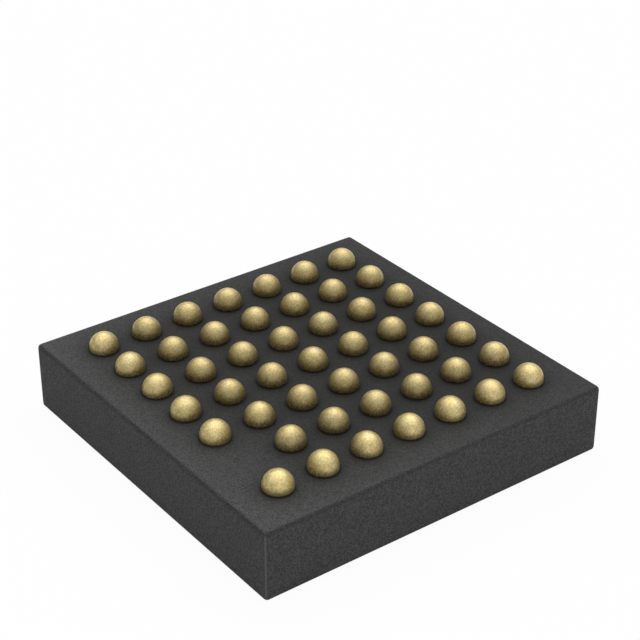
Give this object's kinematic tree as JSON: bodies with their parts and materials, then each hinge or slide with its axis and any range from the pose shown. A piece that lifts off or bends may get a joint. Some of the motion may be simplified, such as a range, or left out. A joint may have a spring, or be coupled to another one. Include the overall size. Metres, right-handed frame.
{
  "type": "ball grid array chip",
  "caption": "Square flat black chip package lying on its marked face, with a square grid of round solder balls standing on the upper face and one ball place left empty.",
  "frame": {"origin": "centre of the marked face, the face without balls, on which the chip lies", "axes": "+Z from the marked face to the balls; +X from ball column 1 to column 7; +Y from ball row A to row G"},
  "size_m": [0.004, 0.004, 0.0009],
  "materials": {
    "moulding_compound": "matt black epoxy moulding compound with a fine grain",
    "solder_mask": "matt black solder mask",
    "laminate": "black glass and resin laminate, sawn edges",
    "solder": "reflowed solder with a warm satin sheen",
    "copper": "plated copper",
    "gold_wire": "drawn gold wire",
    "silicon": "ground silicon",
    "attach_film": "cured adhesive film"
  },
  "bodies": {
    "root": {"mold_cap": "moulding_compound", "bond_wires": "gold_wire", "die": "silicon", "die_attach": "attach_film", "die_side_solder_mask": "solder_mask", "die_side_copper": "copper", "substrate_core": "laminate", "filled_vias": "copper", "ball_lands": "copper", "ball_side_solder_mask": "solder_mask", "solder_ball_a1": "solder", "solder_ball_a2": "solder", "solder_ball_a3": "solder", "solder_ball_a4": "solder", "solder_ball_a5": "solder", "solder_ball_a6": "solder", "solder_ball_a7": "solder", "solder_ball_b2": "solder", "solder_ball_b3": "solder", "solder_ball_b4": "solder", "solder_ball_b5": "solder", "solder_ball_b6": "solder", "solder_ball_b7": "solder", "solder_ball_c1": "solder", "solder_ball_c2": "solder", "solder_ball_c3": "solder", "solder_ball_c4": "solder", "solder_ball_c5": "solder", "solder_ball_c6": "solder", "solder_ball_c7": "solder", "solder_ball_d1": "solder", "solder_ball_d2": "solder", "solder_ball_d3": "solder", "solder_ball_d4": "solder", "solder_ball_d5": "solder", "solder_ball_d6": "solder", "solder_ball_d7": "solder", "solder_ball_e1": "solder", "solder_ball_e2": "solder", "solder_ball_e3": "solder", "solder_ball_e4": "solder", "solder_ball_e5": "solder", "solder_ball_e6": "solder", "solder_ball_e7": "solder", "solder_ball_f1": "solder", "solder_ball_f2": "solder", "solder_ball_f3": "solder", "solder_ball_f4": "solder", "solder_ball_f5": "solder", "solder_ball_f6": "solder", "solder_ball_f7": "solder", "solder_ball_g1": "solder", "solder_ball_g2": "solder", "solder_ball_g3": "solder", "solder_ball_g4": "solder", "solder_ball_g5": "solder", "solder_ball_g6": "solder", "solder_ball_g7": "solder"}
  },
  "joints": []
}
